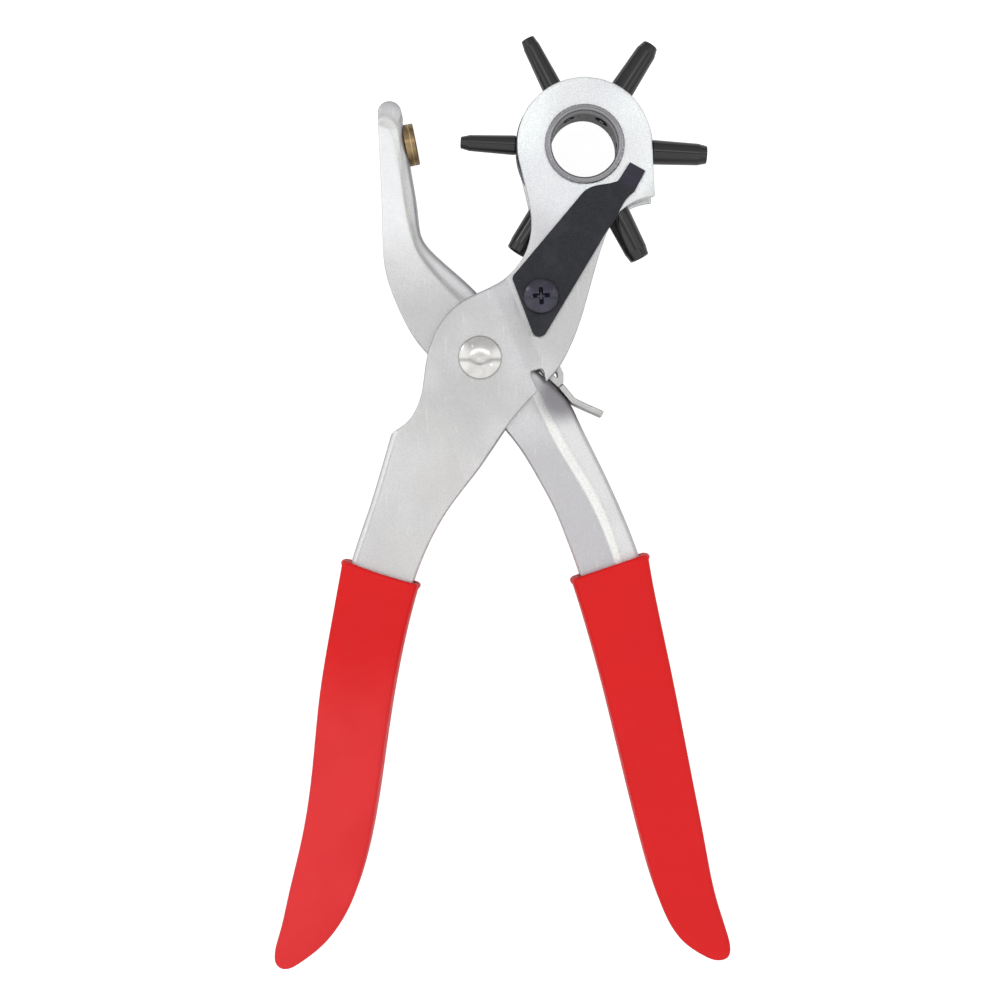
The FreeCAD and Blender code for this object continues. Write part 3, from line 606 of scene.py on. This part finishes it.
def rivet():
    """Pivot rivet: flat head behind, low bright dome in front with a shallow punch dent."""
    dome = []
    for step in range(RIVET_STEPS + 1):
        radius = RIVET_DOME * (1 - step / RIVET_STEPS)
        dome.append((radius, 8.35 + 1.4 * (1 - (radius / RIVET_HEAD) ** 2)))
    profile = [
        (0, -9.5), (RIVET_HEAD, -9.5), (RIVET_HEAD, -RIVET_SEAT), (RIVET_SHANK, -RIVET_SEAT),
        (RIVET_SHANK, RIVET_SEAT), (RIVET_HEAD, RIVET_SEAT), (RIVET_HEAD, 8.2),
    ] + dome
    piece = turned_piece("pivot_rivet", profile, PIVOT)
    for vertex in piece.data.vertices:
        if vertex.co.z > MIDDLE + DENT_START * MM:
            off = math.hypot(vertex.co.x, vertex.co.y) / (DENT_WIDTH * MM)
            vertex.co.z -= DENT_DEPTH * MM * math.exp(-off * off)


def hidden_turnings():
    """The bush, the spacer pillar and the lock pin."""
    turned_piece("pivot_bush", box_profile(3.55, 5.0, -4.4, 4.4), PIVOT)
    turned_piece("neck_spacer", box_profile(2.05, 3.6, -4.68, 4.68), SCREW)
    turned_piece("lock_pin", box_profile(0, 1.0, -5.45, 5.45), LOCK, rounding=0.15)


def outward(angle):
    """Unit direction in plan."""
    return (math.cos(math.radians(angle)), math.sin(math.radians(angle)), 0.0)


def tube_direction(place_number):
    """Which way a tube points, counted from the one that faces the anvil."""
    return outward(TUBE_START - TUBE_STEP * place_number)


def tubes():
    """Six screw-in cutting tubes, each bored through to a sharp chamfered mouth."""
    thread = []
    for turn in range(THREAD_TURNS):
        start = THREAD_START + THREAD_PITCH * turn
        thread += [(THREAD_ROOT, start), (THREAD_CREST, start + THREAD_PITCH / 2)]
    for place_number, (hole, (base, shoulder, tip)) in enumerate(TUBE_SIZES.items()):
        profile = [(hole / 2, 11.2), (THREAD_ROOT, 11.2)] + thread[1:] + [
            (2.3, 16.6), (2.3, 17.05), (base / 2 - 0.1, 17.05), (base / 2, 17.4), (shoulder / 2, 28.6),
            (shoulder / 2 - 0.1, 28.9), (tip / 2 + 0.12, 30.7), (tip / 2 - 0.1, 30.8), (hole / 2, 30.55),
        ]
        node = "punch_tube_" + str(hole).replace(".", "_")
        turned_piece(node, profile, WHEEL, tube_direction(place_number), 0.08)


def anvil():
    """Brass anvil: a faced disc with a fine rim groove, its stem and riveted tail."""
    profile = [
        (0, 0), (4.95, 0), (ANVIL_RADIUS, -0.25), (ANVIL_RADIUS, -1.15), (5.08, -1.25),
        (ANVIL_RADIUS, -1.35), (ANVIL_RADIUS, -ANVIL_THICK), (ANVIL_STEM, -ANVIL_THICK),
        (ANVIL_STEM, -4.9), (ANVIL_TAIL, -4.9), (ANVIL_TAIL, -5.5), (2.8, -5.8), (0, -5.8),
    ]
    turned_piece("anvil", profile, ANVIL_FACE, outward(ANVIL_TILT), 0.08)


def cut(mesh, bm):
    """The mesh with another shape taken away."""
    tool = bpy.data.objects.new("tool", mesh_of(bm, "tool"))
    bpy.context.collection.objects.link(tool)
    result = worked(mesh, ("BOOLEAN", {"operation": "DIFFERENCE", "solver": "EXACT", "object": tool}))
    bpy.data.objects.remove(tool)
    return result


def hub():
    """Hub tube: rolled and grooved lips over both cheeks, a slug hole behind each tube."""
    half = [
        (HUB_OUTER, HUB_LIP_START), (HUB_LIP, HUB_LIP_START), (HUB_LIP, HUB_LIP_ROLL),
        (9.55, HUB_LIP_TOP), (HUB_OUTER, 6.95), (8.95, HUB_LIP_TOP), (8.55, HUB_LIP_TOP),
        (HUB_BORE, HUB_LIP_ROLL),
    ]
    profile = [(radius, -height) for radius, height in half[::-1]] + half
    mesh = mesh_of(lathe(profile, WHEEL), "wheel_hub_tube")
    holes = bmesh.new()
    for place_number, hole in enumerate(TUBE_SIZES):
        rod = box_profile(0, hole / 2 + SLUG_CLEAR, DRILL_START, DRILL_END)
        merge(holes, lathe(rod, WHEEL, tube_direction(place_number), 48))
    settle(present(skin(cut(mesh, holes), 0.15, 2), "wheel_hub_tube"), "wheel_hub_tube")


def screw():
    """Pan-head screw with a tapered cross recess."""
    steps = 10
    dome = []
    for step in range(steps + 1):
        share = 1 - step / steps
        dome.append((4.15 * share, 8.75 + 1.2 * (1 - share ** 2)))
    profile = [
        (0, -2.5), (1.6, -2.5), (2.0, -2.1), (2.0, 7.6), (4.0, 7.6), (4.3, 7.9), (4.3, 8.4),
    ] + dome
    mesh = mesh_of(lathe(profile, SCREW), "latch_screw")
    cross = bmesh.new()
    for turn in (3, 93):
        slot = []
        # the recess narrows from its mouth down to its floor
        for height, reach, width in ((8.0, 0.9, 0.34), (10.2, 2.75, 0.55)):
            for x, y in ((-reach, -width), (reach, -width), (reach, width), (-reach, width)):
                slot.append(cross.verts.new((x * MM, y * MM, height * MM)))
        cross.faces.new(slot[:4])
        cross.faces.new(slot[4:])
        for side in range(4):
            after = (side + 1) % 4
            cross.faces.new((slot[side], slot[after], slot[after + 4], slot[side + 4]))
        spun = Matrix.Rotation(math.radians(turn), 3, "Z")
        bmesh.ops.rotate(cross, verts=slot, cent=(0, 0, 0), matrix=spun)
    place(cross, SCREW, UP)
    whole = skin(mesh_of(cross, "cross"), 0.06, 0)
    tool = bmesh.new()
    tool.from_mesh(whole)
    settle(present(skin(cut(mesh, tool), 0.1, 2), "latch_screw"), "latch_screw")


def spring():
    """Torsion spring: three turns round the bush and a straight leg toward each lever's web."""
    ends = []
    for target, side in ((LEFT_LEG, 1), (RIGHT_LEG, -1)):
        bearing = math.degrees(math.atan2(target[1], target[0]))
        ends.append(bearing + side * math.degrees(math.acos(SPRING_COIL / math.hypot(*target))))
    spread = ends[1] - ends[0]
    turns = SPRING_TURNS + (spread - 360 * round(spread / 360)) / 360
    rise = turns * SPRING_PITCH / 2
    points = [(*LEFT_LEG, -rise)]
    count = round(turns * SPRING_STEPS)
    for step in range(count + 1):
        angle = math.radians(ends[0] + 360 * turns * step / count)
        height = -rise + 2 * rise * step / count
        points.append((SPRING_COIL * math.cos(angle), SPRING_COIL * math.sin(angle), height))
    points.append((*RIGHT_LEG, rise))
    data = bpy.data.curves.new("opening_spring", "CURVE")
    data.dimensions = "3D"
    data.bevel_depth = SPRING_WIRE * MM
    data.bevel_resolution = 4
    data.use_fill_caps = True
    line = data.splines.new("POLY")
    line.points.add(len(points) - 1)
    for point, (x, y, z) in zip(line.points, points):
        point.co = (x * MM, y * MM, z * MM + MIDDLE, 1)
    obj = bpy.data.objects.new("work", data)
    bpy.context.collection.objects.link(obj)
    mesh = bpy.data.meshes.new_from_object(obj.evaluated_get(bpy.context.evaluated_depsgraph_get()))
    bpy.data.objects.remove(obj)
    mesh.shade_smooth()
    piece = present(mesh, "opening_spring")
    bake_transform(piece, "punch_side", "anvil_arm", start=(-0.006, 0, MIDDLE), end=(0.006, 0, MIDDLE))




def bead(bm, left, right):
    """The rolled lip round a sleeve's mouth: a thin ring along a rounded rectangle."""
    centre = Vector(((left[0] + right[0]) / 2, (left[1] + right[1]) / 2, 0))
    reach = (Vector((right[0], right[1], 0)) - centre)
    half = reach.length
    reach.normalize()
    down = Vector((reach.y, -reach.x, 0)) * (1 if reach.x > 0 else -1)
    loops = []
    for step in range(BEAD_AROUND):
        turn = math.tau * step / BEAD_AROUND
        across = math.copysign(abs(math.cos(turn)) ** BEAD_SQUARE, math.cos(turn))
        high = math.copysign(abs(math.sin(turn)) ** BEAD_SQUARE, math.sin(turn))
        middle = centre + reach * across * (half - BEAD_INSET) + Vector((0, 0, high * BEAD_HALF))
        out = (reach * across / half + Vector((0, 0, high / SLEEVE_HALF))).normalized()
        loop = []
        for place_number in range(BEAD_SECTION):
            angle = math.tau * place_number / BEAD_SECTION
            edge = (out * math.cos(angle) + down * math.sin(angle)) * BEAD_RADIUS
            spot = middle + down * BEAD_DROP + edge
            loop.append(bm.verts.new((spot.x * MM, spot.y * MM, spot.z * MM + MIDDLE)))
        loops.append(loop)
    for step in range(BEAD_AROUND):
        first = loops[step]
        second = loops[(step + 1) % BEAD_AROUND]
        for place_number in range(BEAD_SECTION):
            after = (place_number + 1) % BEAD_SECTION
            bm.faces.new((first[place_number], first[after], second[after], second[place_number]))


def grips():
    """Dipped sleeves with a rolled lip; the mouth's edge sags between its corners."""
    for node, (left, right, sag) in GRIP_MOUTHS.items():
        bm = cad_shape(node)
        bead(bm, left, right)
        mesh = skin(mesh_of(bm, node), 0.42, 6)
        centre = Vector(((left[0] + right[0]) / 2, (left[1] + right[1]) / 2, 0)) * MM
        reach = Vector((right[0] - left[0], right[1] - left[1], 0)) * MM / 2
        half = reach.length
        reach.normalize()
        down = Vector((reach.y, -reach.x, 0))
        for vertex in mesh.vertices:
            depth = (vertex.co - centre).dot(down)
            if depth > SAG_REACH:
                continue
            across = (vertex.co - centre).dot(reach) / half
            share = max(0.0, 1 - across * across) * math.exp(-max(depth, 0) / SAG_FADE)
            vertex.co += down * share * sag * MM
        settle(present(mesh, node), node)


levers()
small_pressings()
rivet()
hidden_turnings()
tubes()
anvil()
hub()
screw()
spring()
grips()


# --- camera, floor and light ----------------------------------------------------------------------
def camera():
    data = bpy.data.cameras.new("camera")
    data.sensor_width = SENSOR
    data.lens = SENSOR * VIEW_DISTANCE / VIEW_WIDTH
    data.clip_end = 10
    obj = bpy.data.objects.new("camera", data)
    obj.location = (VIEW_SPOT[0], VIEW_SPOT[1], MIDDLE + VIEW_DISTANCE)
    bpy.context.collection.objects.link(obj)
    bpy.context.scene.camera = obj


def floor():
    """A plain near-white bench top."""
    mesh = bpy.data.meshes.new("floor")
    corners = [(x * FLOOR_REACH, y * FLOOR_REACH, 0) for x, y in ((-1, -1), (1, -1), (1, 1), (-1, 1))]
    mesh.from_pydata(corners, [], [(0, 1, 2, 3)])
    obj = bpy.data.objects.new("floor", mesh)
    bpy.context.collection.objects.link(obj)
    material = bpy.data.materials.new("floor")
    material.use_nodes = True
    shader = material.node_tree.nodes["Principled BSDF"]
    shader.inputs["Base Color"].default_value = (0.5, 0.5, 0.5, 1)
    shader.inputs["Roughness"].default_value = 0.9
    shader.inputs["Emission Color"].default_value = (1, 1, 1, 1)
    rays = material.node_tree.nodes.new("ShaderNodeLightPath")
    glow = material.node_tree.nodes.new("ShaderNodeMapRange")
    glow.inputs["To Min"].default_value = FLOOR_LIGHT
    glow.inputs["To Max"].default_value = FLOOR_SEEN
    material.node_tree.links.new(rays.outputs["Is Camera Ray"], glow.inputs["Value"])
    material.node_tree.links.new(glow.outputs["Result"], shader.inputs["Emission Strength"])
    mesh.materials.append(material)


def studio():
    """Soft surrounding light: a pale dome, dimmer low down, with panels, a bright bar and a dark strip."""
    world = bpy.data.worlds.new("studio")
    world.use_nodes = True
    tree = world.node_tree
    light = tree.nodes["Background"]
    spot = tree.nodes.new("ShaderNodeTexCoord").outputs["Generated"]
    split = tree.nodes.new("ShaderNodeSeparateXYZ")
    tree.links.new(spot, split.inputs[0])

    def band(value, low, high, start, end):
        node = tree.nodes.new("ShaderNodeMapRange")
        node.interpolation_type = "SMOOTHSTEP"
        tree.links.new(value, node.inputs["Value"])
        for name, number in zip(("From Min", "From Max", "To Min", "To Max"), (low, high, start, end)):
            node.inputs[name].default_value = number
        return node.outputs["Result"]

    def join(operation, first, second):
        node = tree.nodes.new("ShaderNodeMath")
        node.operation = operation
        tree.links.new(first, node.inputs[0])
        tree.links.new(second, node.inputs[1])
        return node.outputs[0]

    level = band(split.outputs["Z"], 0.05, 0.70, DOME_EDGE, DOME_TOP)
    level = join("MULTIPLY", level, band(split.outputs["Y"], 0.20, 0.60, 1.0, BACK_LEVEL))
    for direction, edge, full, gain in PANELS:
        dot = tree.nodes.new("ShaderNodeVectorMath")
        dot.operation = "DOT_PRODUCT"
        tree.links.new(spot, dot.inputs[0])
        dot.inputs[1].default_value = Vector(direction).normalized()
        low = math.cos(math.radians(edge))
        high = math.cos(math.radians(full))
        level = join("ADD", level, band(dot.outputs["Value"], low, high, 0, gain))
    # the bar: a short bright light just beyond the top of the view
    near = band(split.outputs["Y"], 0.12, 0.15, 0, 1)
    far = band(split.outputs["Y"], 0.28, 0.24, 0, 1)
    sideways = join("ABSOLUTE", split.outputs["X"], split.outputs["X"])
    bar = join("MULTIPLY", join("MULTIPLY", near, far), band(sideways, 0.35, 0.25, 0, BAR_GAIN))
    level = join("ADD", level, bar)
    # the strip: a dark band across the middle
    before = band(split.outputs["Y"], -0.06, -0.12, 0, 1)
    beyond = band(split.outputs["Y"], 0.02, 0.06, 0, 1)
    level = join("MULTIPLY", level, band(join("MAXIMUM", before, beyond), 0, 1, STRIP_LEVEL, 1))
    rays = tree.nodes.new("ShaderNodeLightPath")
    seen = tree.nodes.new("ShaderNodeMix")
    seen.data_type = "RGBA"
    tree.links.new(rays.outputs["Is Camera Ray"], seen.inputs["Factor"])
    tree.links.new(level, seen.inputs[6])
    seen.inputs[7].default_value = (1, 1, 1, 1)
    tree.links.new(seen.outputs[2], light.inputs["Color"])
    bpy.context.scene.world = world


camera()
floor()
studio()
bpy.context.scene.view_settings.view_transform = "Standard"
